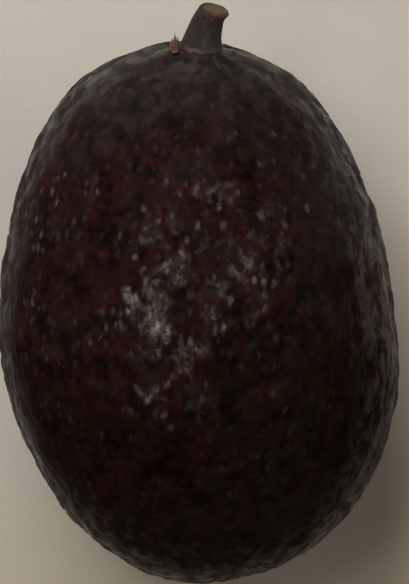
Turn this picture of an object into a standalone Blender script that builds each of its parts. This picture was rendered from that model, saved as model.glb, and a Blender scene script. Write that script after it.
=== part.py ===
"""A whole ripe avocado with dark pebbled skin, lying on its side: fruit, stem stub and dry scale.

Metres, +Z up. The stem end points along +Y, and the origin is the middle of the small flat spot
that the fruit rests on. The fruit is a ball of skin pebbles pressed into the fruit's outline: the
ball's points are directions, and one formula takes a direction to its place on the skin.
"""

import math

import bmesh
import bpy
import numpy as np
from mathutils import Vector

# Fruit
FRUIT_LENGTH = 0.092  # blossom end to stem end
FRUIT_WIDTH = 0.0664  # across the middle; the fuller shoulder adds a little more
FRUIT_HEIGHT = 0.0641
AXIS_TURN = math.radians(3)  # the stem end lies to the left of straight ahead
REST_SINK = 0.00055  # how much of the round underside the rest spot takes away

# Outline: girth as a polynomial in t, the place along the axis from -1 (blossom) to 1 (stem)
FULLNESS = 0.073  # t^2: both ends fuller than an ellipse's
SHOULDER = (-0.091, 0.183, -0.060)  # t, t^3, t^5: wide below the middle, blunt at the stem end
POLE_GIRTH = 1 + FULLNESS + sum(SHOULDER)  # at the stem pole, t = 1
BEND = (-0.00124, 0.00255, -0.00057, -0.00182)  # t, t^2, t^3, t^4: sections set off to the side

# Swells: broad uneven waves over the whole skin, as (direction of travel, waves per radian, start)
SWELL_HEIGHT = 0.00013
SWELL_FADE = 0.9  # t where they start to fade towards the stem pole
SWELLS = (
    ((0.8, 0.5, 0.33), 7.5, 0.4),
    ((-0.3, 0.6, 0.74), 9.0, 2.1),
    ((0.5, -0.7, 0.51), 8.2, 4.4),
)

# Pebbles, larger than life so that each one is a dome of several faces
PEBBLES = 620
PEBBLE_JITTER = 0.24  # of the distance between neighbours
PEBBLE_RISE = 0.00048  # a pebble's top above the plain skin
PEBBLE_SIZES = (0.6, 1.3)  # least and most of that rise
SLOPE_SHARE = 0.72  # of it is left half-way down a pebble
VALLEY_DROP = 0.00014  # the corners between pebbles below the plain skin
PEBBLE_SEED = 7
SMOOTH_FROM, SMOOTH_TO = 0.80, 0.97  # t where the pebbles sink away towards the stem
SMOOTH_KEEP = 0.35  # of their height that stays around the stem

# Blossom end: a small dimple
DIMPLE_DEPTH, DIMPLE_RADIUS = 0.0007, 0.0045

# Stem stub, placed from the stem pole of the fruit
STEM_SIDE, STEM_UP = 0.0033, 0.0065
STEM_LENGTH = 0.00725
STEM_FOOT_RADIUS, STEM_TIP_RADIUS = 0.0034, 0.0022
STEM_FOOT_FLARE, STEM_FLARE_POWER = 0.0004, 6
STEM_RIM_FLARE = 0.0004  # the clipped end bulges on its right side
STEM_RIM_AT, STEM_RIM_SPREAD = 0.93, 0.08  # of the stub's length
STEM_RIDGES, STEM_RIDGE_HEIGHT, STEM_RIDGE_TWIST = 5, 0.00011, 2
STEM_RIDGE_FROM = 0.2  # of the stub's length, where the ridges reach their full height
STEM_START = (math.radians(7.5), math.radians(14))  # (turn right, rise) of the stub at its foot
STEM_END = (math.radians(28), math.radians(26))  # and at its clipped end
CUT_AIM = (math.radians(14), math.radians(23))  # the clipped face is cut a little askew
STEM_SIDES, STEM_RINGS = 28, 11
CUT_BORDER, CUT_DISH = 0.0005, 0.0002  # bark ring round the clipped end, and how deep the end is

# Pit that the stub stands in
PIT_FLOOR_RADIUS, PIT_RIM_RADIUS, PIT_DEPTH = 0.0042, 0.0048, 0.0007
PIT_SIDES = 12
PIT_MARGIN = 0.0018  # from the pit's rim to the nearest pebble top
GAP = 0.0003  # between pieces that touch

# Dry scale, placed from the stem pole of the fruit
SCALE_SIDE, SCALE_UP = -0.0009, 0.0093
SCALE_HEIGHT, SCALE_HALF_WIDTH = 0.0031, 0.00085
SCALE_FOOT_HALF, SCALE_TIP_HALF = 0.00042, 0.00025  # half thickness
SCALE_TEETH = ((-0.66, 0.38, 0.72), (0.0, 0.50, 1.0), (0.66, 0.36, 0.80))  # (centre, reach, height)
SCALE_NOTCH = 0.52  # height of the blade between its teeth
SCALE_CURL = 0.25  # the blade's edges curl towards the stub
SCALE_TAPER = 0.25  # of its width is lost towards the tips
SCALE_EDGE_LOSS = 0.35  # of its height and thickness is lost towards its edges
SCALE_AIM = (math.radians(0), math.radians(20))  # (turn right, rise)
SCALE_COLUMNS, SCALE_ROWS = 12, 6

SKIN = ("avocado_skin", (0.016, 0.009, 0.007, 1), 0.42)
WOOD = ("stem_wood", (0.055, 0.036, 0.030, 1), 0.70)
SCALE_BROWN = ("dry_scale_brown", (0.160, 0.085, 0.060, 1), 0.80)


def clear_scene():
    for thing in list(bpy.data.objects):
        bpy.data.objects.remove(thing)


def material(name, colour, roughness):
    made = bpy.data.materials.new(name)
    made.use_nodes = True
    shader = made.node_tree.nodes["Principled BSDF"]
    shader.inputs["Base Color"].default_value = colour
    shader.inputs["Roughness"].default_value = roughness
    shader.inputs["Metallic"].default_value = 0
    made.diffuse_color = colour
    return made


def smoothstep(low, high, value):
    x = np.clip((value - low) / (high - low), 0, 1)
    return x * x * (3 - 2 * x)


def unit(vectors):
    return vectors / np.linalg.norm(vectors, axis=-1, keepdims=True)


def turned(points):
    """Points of the straight fruit, turned to the left about +Z."""
    c, s = math.cos(AXIS_TURN), math.sin(AXIS_TURN)
    x, y, z = points[:, 0], points[:, 1], points[:, 2]
    return np.stack([c * x - s * y, s * x + c * y, z], axis=1)


def aimed(angles):
    """The direction that starts along +Y and is turned right, then raised, by these two angles."""
    right, rise = angles
    flat = math.cos(rise)
    return np.array([flat * math.sin(right), flat * math.cos(right), math.sin(rise)])


def girth(t, under):
    """Girth against a ball's at height t. The underside is even, so it rests below its middle."""
    uneven = sum(share * t ** (2 * power + 1) for power, share in enumerate(SHOULDER))
    return 1 + FULLNESS * t**2 + uneven * (1 - under**2)


def skin(directions, rise=0.0):
    """Places on the skin, raised by rise (metres), for unit directions with the stem pole at +Y."""
    x, t, z = directions.T
    round_axis = np.maximum(np.hypot(x, z), 1e-9)
    wide = girth(t, np.clip(-z / round_axis, 0, 1))
    sideways = sum(share * t ** (power + 1) for power, share in enumerate(BEND)) * round_axis
    half = np.array([FRUIT_WIDTH, FRUIT_LENGTH, FRUIT_HEIGHT]) / 2
    plain = np.stack([half[0] * x * wide + sideways, half[1] * t, half[2] * z * wide], axis=1)
    outward = unit(directions / half)
    swell = sum(
        SWELL_HEIGHT * np.sin(waves * directions @ unit(np.array(travel)) + start)
        for travel, waves, start in SWELLS
    )
    off_axis = np.hypot(plain[:, 0], plain[:, 2])
    dimple = np.where(t < 0, DIMPLE_DEPTH * np.exp(-((off_axis / DIMPLE_RADIUS) ** 2)), 0)
    raised = plain + outward * (rise + swell * smoothstep(1, SWELL_FADE, t) - dimple)[:, None]
    return turned(raised) + [0, 0, FRUIT_HEIGHT / 2 - REST_SINK]


def stem_end_direction(side, up):
    """The direction of the skin this far to the side of the stem pole and above it."""
    x = side / (FRUIT_WIDTH / 2 * POLE_GIRTH)
    z = up / (FRUIT_HEIGHT / 2 * POLE_GIRTH)
    return np.array([x, math.sqrt(1 - x * x - z * z), z])


def skin_frame(direction):
    """A place on the skin, and the outward direction there, from three points close together."""
    step = 1e-3
    across = unit(np.cross(direction, [0, 0, 1]))
    upward = np.cross(across, direction)
    near = skin(unit(np.array([direction, direction + step * across, direction + step * upward])))
    return near[0], unit(np.cross(near[2] - near[0], near[1] - near[0]))


def in_pit(points):
    """Points near the stub's foot, sunk into the pit that it stands in."""
    foot, outward = skin_frame(stem_end_direction(STEM_SIDE, STEM_UP))
    offset = points - foot
    along = offset @ outward
    off_axis = np.linalg.norm(offset - np.outer(along, outward), axis=1)
    sunk = PIT_DEPTH * smoothstep(PIT_RIM_RADIUS, PIT_FLOOR_RADIUS, off_axis)
    sunk[along < -STEM_LENGTH] = 0  # the far end of the fruit lies on the same axis
    return points - np.outer(sunk, outward)


def pebble_directions():
    """Pebble tops over the ball on a spiral of even spacing, jittered, clear of the stem pit."""
    rng = np.random.default_rng(PEBBLE_SEED)
    count = np.arange(PEBBLES)
    t = 1 - (2 * count + 1) / PEBBLES
    angle = count * math.pi * (3 - math.sqrt(5))
    flat = np.sqrt(1 - t * t)
    tops = np.stack([flat * np.cos(angle), t, flat * np.sin(angle)], axis=1)
    spacing = math.sqrt(4 * math.pi / PEBBLES)
    tops = unit(tops + rng.uniform(-1, 1, tops.shape) * PEBBLE_JITTER * spacing)
    foot, _ = skin_frame(stem_end_direction(STEM_SIDE, STEM_UP))
    clear = np.linalg.norm(skin(tops) - foot, axis=1) > PIT_RIM_RADIUS + PIT_MARGIN
    return tops[clear], PEBBLE_RISE * rng.uniform(*PEBBLE_SIZES, clear.sum())


def pit_directions():
    """The middle of the pit and two rings of directions round it, on its floor and on its rim."""
    middle = stem_end_direction(STEM_SIDE, STEM_UP)
    across = unit(np.cross(middle, [0, 0, 1]))
    upward = np.cross(across, middle)
    turns = np.arange(PIT_SIDES) * math.tau / PIT_SIDES
    size = FRUIT_WIDTH / 2 * POLE_GIRTH
    rings = [middle[None, :]]
    for radius, start in ((PIT_FLOOR_RADIUS, 0.5), (PIT_RIM_RADIUS, 0)):
        at = turns + start * math.tau / PIT_SIDES
        ring = np.outer(np.cos(at), across) + np.outer(np.sin(at), upward)
        rings.append(unit(middle + ring * radius / size))
    return np.concatenate(rings)


def turns_cleanly(edge):
    """Whether the two faces beside an edge make a shape that their other diagonal stays inside."""
    ends = [vert.co for vert in edge.verts]
    first, second = (vert.co for face in edge.link_faces for vert in face.verts if vert not in edge.verts)
    diagonal = first.cross(second)
    return diagonal.dot(ends[0]) * diagonal.dot(ends[1]) < 0


def refined(bm):
    """Puts a vertex in the middle of each face, and turns each old edge to join two of them."""
    between = bm.edges[:]
    made = bmesh.ops.poke(bm, faces=bm.faces[:], center_mode="MEAN")["verts"]
    for vert in made:
        vert.co.normalize()
    neighbours = [[edge.other_vert(vert) for edge in vert.link_edges] for vert in made]
    bmesh.ops.rotate_edges(bm, edges=[edge for edge in between if turns_cleanly(edge)])
    return zip(made, neighbours)


def new_object(name, bm, finish, collection):
    mesh = bpy.data.meshes.new(name)
    bm.to_mesh(mesh)
    bm.free()
    mesh.shade_smooth()
    mesh.materials.append(material(*finish))
    made = bpy.data.objects.new(name, mesh)
    collection.objects.link(made)


def move_verts(verts, places):
    for vert, place in zip(verts, places):
        vert.co = Vector(place)


def build_fruit(collection):
    """Pebble tops are joined into a ball, whose faces are refined to valleys, then to slopes."""
    tops, rises = pebble_directions()
    bare = pit_directions()
    bm = bmesh.new()
    rise = bm.verts.layers.float.new("rise")
    for direction, height in zip(tops, rises):
        bm.verts.new(direction)[rise] = height
    for direction in bare:
        bm.verts.new(direction)
    bmesh.ops.convex_hull(bm, input=bm.verts[:])
    for valley, _ in refined(bm):
        valley[rise] = -VALLEY_DROP
    for slope, neighbours in refined(bm):
        slope[rise] = SLOPE_SHARE * max(vert[rise] for vert in neighbours)

    verts = bm.verts[:]
    directions = unit(np.array([vert.co for vert in verts]))
    heights = np.array([vert[rise] for vert in verts])
    heights *= 1 - (1 - SMOOTH_KEEP) * smoothstep(SMOOTH_FROM, SMOOTH_TO, directions[:, 1])
    places = in_pit(skin(directions, heights))
    places[:, 2] = np.maximum(places[:, 2], 0)  # the rest spot
    move_verts(verts, places)
    new_object("fruit", bm, SKIN, collection)


def cut_across(bm, normal, places):
    """Cuts the whole mesh with planes of this normal, one through each place."""
    for place in places:
        geometry = bm.verts[:] + bm.edges[:] + bm.faces[:]
        bmesh.ops.bisect_plane(bm, geom=geometry, plane_co=place, plane_no=normal)


def build_stem_stub(collection):
    """A ringed cylinder, bent and flared: its foot lies along the skin, its clipped end is dished."""
    bm = bmesh.new()
    bmesh.ops.create_cone(bm, cap_ends=True, segments=STEM_SIDES, radius1=1, radius2=1, depth=1)
    bmesh.ops.translate(bm, verts=bm.verts[:], vec=(0, 0, 0.5))
    heights = [(0, 0, ring / STEM_RINGS) for ring in range(1, STEM_RINGS)]
    cut_across(bm, (0, 0, 1), heights)

    verts = bm.verts[:]
    x, y, h = np.array([vert.co for vert in verts]).T
    angle = np.arctan2(y, x)
    foot, outward = skin_frame(stem_end_direction(STEM_SIDE, STEM_UP))
    foot = foot + outward * (GAP - PIT_DEPTH)
    start, end, cut = aimed(STEM_START), aimed(STEM_END), aimed(CUT_AIM)
    middle = foot + STEM_LENGTH * (np.outer(h, start) + np.outer(h**2 / 2, end - start))
    facing = unit(outward + np.outer(h, cut - outward))
    right = unit(np.cross(facing, [0, 0, 1]))
    down = np.cross(facing, right)

    radius = STEM_FOOT_RADIUS + (STEM_TIP_RADIUS - STEM_FOOT_RADIUS) * h
    radius += STEM_FOOT_FLARE * (1 - h) ** STEM_FLARE_POWER
    rim = np.exp(-(((h - STEM_RIM_AT) / STEM_RIM_SPREAD) ** 2))
    radius += STEM_RIM_FLARE * rim * (1 + np.cos(angle)) / 2
    ridges = np.cos(STEM_RIDGES * angle + STEM_RIDGE_TWIST * h)
    radius += STEM_RIDGE_HEIGHT * ridges * smoothstep(0, STEM_RIDGE_FROM, h)
    places = middle + (radius * np.cos(angle))[:, None] * right
    move_verts(verts, places + (radius * np.sin(angle))[:, None] * down)

    clipped = max(bm.faces, key=lambda face: face.calc_center_median().dot(Vector(cut)))
    bmesh.ops.inset_individual(bm, faces=[clipped], thickness=CUT_BORDER, depth=-CUT_DISH)
    new_object("stem_stub", bm, WOOD, collection)


def build_dry_scale(collection):
    """A thin block shaped into a blade with three teeth, thick at its foot and curled at its edges."""
    bm = bmesh.new()
    bmesh.ops.create_cube(bm, size=2)
    columns = [(2 * step / SCALE_COLUMNS - 1, 0, 0) for step in range(1, SCALE_COLUMNS)]
    rows = [(0, 0, 2 * step / SCALE_ROWS - 1) for step in range(1, SCALE_ROWS)]
    cut_across(bm, (1, 0, 0), columns)
    cut_across(bm, (0, 0, 1), rows)

    verts = bm.verts[:]
    u, side, v = np.array([vert.co for vert in verts]).T
    h = (v + 1) / 2
    edge = np.full(len(u), SCALE_NOTCH)
    for centre, reach, height in SCALE_TEETH:
        tooth = np.clip(1 - np.abs(u - centre) / reach, 0, 1)
        edge = np.maximum(edge, SCALE_NOTCH + (height - SCALE_NOTCH) * tooth)
    edge *= 1 - SCALE_EDGE_LOSS * u**4
    half_width = SCALE_HALF_WIDTH * (1 - SCALE_TAPER * h**2)
    half_thick = SCALE_FOOT_HALF + (SCALE_TIP_HALF - SCALE_FOOT_HALF) * h
    half_thick = half_thick * (1 - SCALE_EDGE_LOSS * u**2)

    foot, outward = skin_frame(stem_end_direction(SCALE_SIDE, SCALE_UP))
    foot = foot + outward * (GAP + PEBBLE_RISE * SMOOTH_KEEP)
    facing = unit(outward + np.outer(h, aimed(SCALE_AIM) - outward))
    right = unit(np.cross(facing, [0, 0, 1]))
    down = np.cross(facing, right)
    curled = side * half_thick + SCALE_CURL * SCALE_HALF_WIDTH * u**2 * h
    places = foot + (SCALE_HEIGHT * h * edge)[:, None] * facing
    places = places + (half_width * u)[:, None] * right + curled[:, None] * down
    move_verts(verts, places)
    new_object("dry_scale", bm, SCALE_BROWN, collection)


def main():
    clear_scene()
    collection = bpy.data.collections.new("avocado")
    bpy.context.scene.collection.children.link(collection)
    build_fruit(collection)
    build_stem_stub(collection)
    build_dry_scale(collection)


main()
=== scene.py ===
"""The looks of a whole ripe avocado: pebbled skin, woody stem stub and dry scale, lying on a table.

Metres, +Z up, the stem end along +Y. Every surface here is a formula of two parameters, worked out
with numpy on a grid. The fruit's outline repeats the CAD model's formulas, so the fine skin lies in
the space of the plain one, and the finer pieces stand for the CAD's three nodes.
"""

from __future__ import annotations

import logging
import math
from collections.abc import Iterator
from dataclasses import dataclass
from enum import Enum

import bpy
import numpy as np
from bpy.types import Material, NodeSocket, Object
from mathutils import Matrix, Vector

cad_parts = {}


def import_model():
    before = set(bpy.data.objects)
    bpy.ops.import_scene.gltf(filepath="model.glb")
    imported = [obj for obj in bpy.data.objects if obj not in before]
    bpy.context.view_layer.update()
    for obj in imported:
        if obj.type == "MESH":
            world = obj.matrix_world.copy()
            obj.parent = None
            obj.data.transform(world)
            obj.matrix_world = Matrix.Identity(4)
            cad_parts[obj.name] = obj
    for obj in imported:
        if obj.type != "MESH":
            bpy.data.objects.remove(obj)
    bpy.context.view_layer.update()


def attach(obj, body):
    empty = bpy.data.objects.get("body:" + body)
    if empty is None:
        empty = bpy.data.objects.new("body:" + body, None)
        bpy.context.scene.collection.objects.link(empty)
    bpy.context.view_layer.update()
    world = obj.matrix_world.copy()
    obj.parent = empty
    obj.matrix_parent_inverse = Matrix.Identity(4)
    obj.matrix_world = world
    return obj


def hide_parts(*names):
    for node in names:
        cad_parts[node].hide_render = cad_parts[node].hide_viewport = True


LOG = logging.getLogger("avocado")
MM = 0.001

Array = np.ndarray
Pair = tuple[float, float]
Triple = tuple[float, float, float]
Colour = Triple


class Slot(Enum):
    """The material slots."""

    SKIN = "skin"
    WOOD = "stem_wood"
    SCALE = "dry_scale"


# -- Shader maths --------------------------------------------


class Graph:
    """The node tree of one material, with one method that makes any node."""

    def __init__(self, name: str) -> None:
        """Starts an empty material.

        Args:
            name: the material's name.
        """
        self.material = bpy.data.materials.new(name)
        self.material.use_nodes = True
        self.tree = self.material.node_tree
        self.tree.nodes.clear()

    def node(self, kind: str, settings: dict | None = None, **sockets: object) -> Shade:
        """Adds a node: its settings come first, then the values or links of its sockets.

        Args:
            kind: the node's type, without the ShaderNode that its name starts with.
            settings: properties such as a Math node's operation.
            sockets: values by socket name, with _ for a space, or _0, _1 for a place in the list.

        Returns:
            The node's first output that is in use.
        """
        made = self.tree.nodes.new("ShaderNode" + kind)
        for key, value in (settings or {}).items():
            setattr(made, key, value)
        for key, value in sockets.items():
            place = key.replace("_", " ").strip()
            self.feed(made.inputs[int(place) if place.isdigit() else place], value)
        return Shade(self, next(output for output in made.outputs if output.enabled))

    def feed(self, socket: NodeSocket, value: object) -> None:
        """Links a Shade to a socket, or sets a plain value on it.

        Args:
            socket: the socket.
            value: a Shade, a number, a colour or a direction.
        """
        if isinstance(value, Shade):
            self.tree.links.new(value.socket, socket)
        elif socket.type == "RGBA" and len(value) == 3:
            socket.default_value = (*value, 1.0)
        else:
            socket.default_value = value

    def places(self) -> Shade:
        """The place on the piece, in metres."""
        return self.node("TexCoord").output("Object")

    def attributes(self, *names: str) -> list[Shade]:
        """Values that are stored at the mesh's points, by name."""
        return [self.node("Attribute", {"attribute_name": name}).output("Fac") for name in names]

    def noise(self, at: Shade, size: float, detail: float = 2.0, rough: float = 0.5) -> Shade:
        """Smooth random values from 0 to 1 whose lumps are about this size, in metres."""
        return self.node("TexNoise", Vector=at, Scale=1 / size, Detail=detail, Roughness=rough)

    def stretched(self, at: Shade, along: Triple) -> Shade:
        """Places scaled by these shares on X, Y and Z: a pattern grows long where a share is low."""
        return self.node("VectorMath", {"operation": "MULTIPLY"}, _0=at, _1=along)

    def shifted(self, at: Shade, size: float, reach: float) -> Shade:
        """Pushes places about, so that a pattern over them wavers.

        Args:
            at: the places.
            size: the size of the noise that pushes them, in metres.
            reach: how far it pushes at most.

        Returns:
            The moved places.
        """
        push = self.node("TexNoise", Vector=at, Scale=1 / size, Detail=1.0).output("Color")
        centred = self.node("VectorMath", {"operation": "SUBTRACT"}, _0=push, _1=(0.5, 0.5, 0.5))
        scaled = self.node("VectorMath", {"operation": "SCALE"}, _0=centred, Scale=2 * reach)
        return self.node("VectorMath", {"operation": "ADD"}, _0=at, _1=scaled)

    def mix(self, share: Shade | float, first: object, second: object, how: str = "MIX") -> Shade:
        """Mixes two colours.

        Args:
            share: how much of the second one shows.
            first: a colour.
            second: another one.
            how: the way they mix.

        Returns:
            The mixed colour.
        """
        made = self.node("Mix", {"data_type": "RGBA", "blend_type": how, "clamp_factor": True})
        in_use = (socket for socket in made.socket.node.inputs if socket.enabled)
        for socket, value in zip(in_use, (share, first, second)):
            self.feed(socket, value)
        return made

    def layered(self, colour: Shade, *layers: tuple[Shade, object]) -> Shade:
        """Lays colours over one another.

        Args:
            colour: the lowest one.
            layers: how much of each further one shows, and its colour.

        Returns:
            The mixed colour.
        """
        for share, tone in layers:
            colour = self.mix(share, colour, tone)
        return colour

    def finish(
        self, colour: object, roughness: object, relief: Shade, depth: float, **constants: object
    ) -> None:
        """Adds the surface shader and the output.

        Args:
            colour: the base colour.
            roughness: the roughness.
            relief: heights from 0 to 1, which tilt the normal.
            depth: how deep that relief is, in metres.
            constants: other sockets by name.
        """
        normal = self.node("Bump", Height=relief, Distance=depth)
        sockets = {"Base_Color": colour, "Roughness": roughness, "Normal": normal}
        shader = self.node("BsdfPrincipled", None, **sockets, **constants)
        output = self.tree.nodes.new("ShaderNodeOutputMaterial")
        self.feed(output.inputs["Surface"], shader)


class Shade:
    """A number or colour inside a material. Arithmetic on it adds Math nodes."""

    def __init__(self, graph: Graph, socket: NodeSocket) -> None:
        """Wraps a node's output."""
        self.graph = graph
        self.socket = socket

    def output(self, name: str) -> Shade:
        """Another output of the same node."""
        return Shade(self.graph, self.socket.node.outputs[name])

    def _math(self, operation: str, *values: object) -> Shade:
        """A Math node on these values."""
        sockets = {f"_{place}": value for place, value in enumerate(values)}
        return self.graph.node("Math", {"operation": operation}, **sockets)

    def __add__(self, other: object) -> Shade:
        """Sum."""
        return self._math("ADD", self, other)

    __radd__ = __add__

    def __sub__(self, other: object) -> Shade:
        """Difference."""
        return self._math("SUBTRACT", self, other)

    def __rsub__(self, other: object) -> Shade:
        """Difference, where this one is taken away."""
        return self._math("SUBTRACT", other, self)

    def __mul__(self, other: object) -> Shade:
        """Product."""
        return self._math("MULTIPLY", self, other)

    __rmul__ = __mul__

    def ease(self, low: float, high: float) -> Shade:
        """0 below low, 1 above high and smooth between; low may be the higher one."""
        settings = {"interpolation_type": "SMOOTHSTEP"}
        rising = float(low < high)
        sockets = {"From_Min": min(low, high), "From_Max": max(low, high), "To_Min": 1 - rising}
        return self.graph.node("MapRange", settings, Value=self, To_Max=rising, **sockets)

    def capped(self) -> Shade:
        """The value, held between 0 and 1."""
        return self._math("MAXIMUM", self._math("MINIMUM", self, 1.0), 0.0)


# -- Shapes --------------------------------------------------


def unit(vectors: Array) -> Array:
    """Vectors scaled to length 1."""
    return vectors / np.linalg.norm(vectors, axis=-1, keepdims=True)


def ease(low: float, high: float, value: Array) -> Array:
    """0 below low, 1 above high, with no corner at either end; low may be the higher one."""
    x = np.clip((value - low) / (high - low), 0, 1)
    return x * x * (3 - 2 * x)


def aimed(right: float, rise: float) -> Array:
    """The direction that starts along +Y and is turned right, then raised, by these degrees."""
    right, rise = math.radians(right), math.radians(rise)
    flat = math.cos(rise)
    return np.array([flat * math.sin(right), flat * math.cos(right), math.sin(rise)])


def beside(facing: Array) -> tuple[Array, Array]:
    """The level direction to the right of each one, and the direction below it."""
    right = unit(np.cross(facing, [0, 0, 1]))
    return right, np.cross(facing, right)


def waves(places: Array, length: float, seed: int, count: int = 24) -> Array:
    """Smooth random values of unit spread: the sum of sine waves that travel in random directions.

    Args:
        places: points, one a row.
        length: the middle wavelength, in the points' own unit.
        seed: picks the waves.
        count: how many there are.

    Returns:
        One value a point.
    """
    rng = np.random.default_rng(seed)
    travel = unit(rng.normal(size=(count, 3))) * math.tau
    travel /= length * rng.uniform(0.65, 1.5, (count, 1))
    start = rng.uniform(0, math.tau, count)
    return np.sin(places @ travel.T + start).sum(axis=1) * math.sqrt(2 / count)


def wavers(places: Array, length: float, seed: int) -> Array:
    """Three unlike waves a place, with the three seeds after this one, to push a pattern about."""
    return np.stack([waves(places, length, seed + axis) for axis in (1, 2, 3)], axis=1)


def apart(places: Array, centres: Array) -> Iterator[tuple[Array, Array]]:
    """Squared distances from places to centres, for a few thousand places at a time.

    Args:
        places: points, one a row.
        centres: points, one a row.

    Yields:
        The numbers of some places, and their squared distances with a column for each centre.
    """
    squares = (centres**2).sum(axis=1)
    for block in np.array_split(np.arange(len(places)), max(1, len(places) // 4000)):
        some = places[block]
        yield block, (some**2).sum(axis=1)[:, None] + squares - 2 * some @ centres.T


def cells(places: Array, centres: Array) -> tuple[Array, Array, Array]:
    """Which centre is nearest to each place, how far off it is, and how deep in its cell.

    The depth inside is half the difference between the distances to the two nearest centres, so
    it is 0 on a border between cells.

    Args:
        places: points, one a row.
        centres: the cells' centres, one a row.

    Returns:
        The nearest centre's number, its distance and the depth inside its cell, one a place.
    """
    nearest = np.empty(len(places), dtype=int)
    distance, inside = np.empty(len(places)), np.empty(len(places))
    for block, squared in apart(places, centres):
        row, first = np.arange(len(block)), squared.argmin(axis=1)
        near = np.sqrt(np.maximum(squared[row, first], 0))
        squared[row, first] = np.inf
        nearest[block], distance[block] = first, near
        inside[block] = (np.sqrt(squared.min(axis=1)) - near) / 2
    return nearest, distance, inside


def mounds(places: Array, centres: Array, sizes: Array, spread: float) -> Array:
    """Rounded mounds that run into each other: the sum of size * exp(-(distance / spread)^2).

    Args:
        places: points, one a row.
        centres: the mounds' middles, one a row.
        sizes: their heights.
        spread: how wide they are, in the points' own unit.

    Returns:
        One height a place.
    """
    total = np.empty(len(places))
    for block, squared in apart(places, centres):
        total[block] = np.exp(-squared / spread**2) @ sizes
    return total


def ball(steps: int) -> tuple[Array, Array]:
    """Directions all round, nearly evenly spread, and the four-sided faces between them.

    A point (a, b) on each of a cube's six sides is the direction outward + tan(a) across + tan(b)
    along, with a and b from -45 to 45 degrees. Points that two sides share are made one.

    Args:
        steps: faces along a side's edge.

    Returns:
        Unit directions, one a row, and faces of four point numbers that turn outwards.
    """
    line = np.tan(np.linspace(-1, 1, steps + 1) * math.pi / 4)
    a, b = (value[:, None] for value in grid_of(line, line))
    axes = np.eye(3)
    sides = []
    for axis in range(3):
        for sign in (1, -1):
            across, along = axes[(axis + 1) % 3], sign * axes[(axis + 2) % 3]
            sides.append(sign * axes[axis] + a * across + b * along)
    every = unit(np.concatenate(sides))
    keys = np.round(every * 1e6).astype(np.int64)
    _, first, number = np.unique(keys, axis=0, return_index=True, return_inverse=True)
    return every[first], turned(quads(number.reshape(6, steps + 1, steps + 1)))


def grid_of(rows: Array, columns: Array) -> list[Array]:
    """The row value and the column value of every point of a grid, row by row."""
    return [grid.ravel() for grid in np.meshgrid(rows, columns, indexing="ij")]


def quads(number: Array) -> Array:
    """Four-sided faces between the numbered points of a grid, or of several grids in a stack."""
    top, low = number[..., :-1, :], number[..., 1:, :]
    return np.stack([top[..., :-1], top[..., 1:], low[..., 1:], low[..., :-1]], axis=-1).reshape(-1, 4)


def turned(faces: Array) -> Array:
    """The same faces, turned the other way out, with the same first corners."""
    return np.roll(faces[:, ::-1], 1, axis=1)


def tube_faces(rings: int, sides: int) -> list[Array]:
    """Faces of a tube of rings, whose ends close on one point each, numbered after the rings'.

    Args:
        rings: how many rings of points there are.
        sides: points in a ring, anticlockwise as seen from the last ring's end.

    Returns:
        Four-sided faces between the rings, and three-sided ones at the ends.
    """
    number = np.arange(rings * sides).reshape(rings, sides)
    after = np.roll(number, -1, axis=1)
    start = np.full(sides, rings * sides)
    first = np.stack([after[0], number[0], start], axis=-1)
    last = np.stack([number[-1], after[-1], start + 1], axis=-1)
    return [quads(np.column_stack([number, number[:, 0]])), np.concatenate([first, last])]


def sheet_faces(rows: int, columns: int) -> Array:
    """Faces of a thin closed solid: a grid of points in front, the same behind, and a rim.

    Args:
        rows: rows of points; the back's points follow the front's in the numbering.
        columns: points in a row.

    Returns:
        Four-sided faces.
    """
    front = np.arange(rows * columns).reshape(rows, columns)
    loop = np.concatenate([front[0, :-1], front[:-1, -1], front[-1, :0:-1], front[:0:-1, 0]])
    after = np.roll(loop, -1)
    rim = np.stack([after, loop, loop + front.size, after + front.size], axis=-1)
    return np.concatenate([quads(front), turned(quads(front + front.size)), rim])


def piece(
    name: str,
    places: Array,
    faces: list[Array],
    finish: Material,
    values: dict[str, Array] | None = None,
) -> Object:
    """Makes a mesh object at the origin, with its place in its mesh.

    Args:
        name: the piece's name.
        places: its points in metres, one a row.
        faces: arrays of faces, each of three or four point numbers.
        finish: its material.
        values: named values for the material, one a point.

    Returns:
        The object.
    """
    mesh = bpy.data.meshes.new(name)
    mesh.from_pydata(places.tolist(), [], [face for group in faces for face in group.tolist()])
    for key, value in (values or {}).items():
        mesh.attributes.new(key, "FLOAT", "POINT").data.foreach_set("value", value.astype(np.float32))
    mesh.shade_smooth()
    mesh.materials.append(finish)
    made = bpy.data.objects.new(name, mesh)
    bpy.context.scene.collection.objects.link(made)
    return made


# -- Finishes ------------------------------------------------


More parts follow.
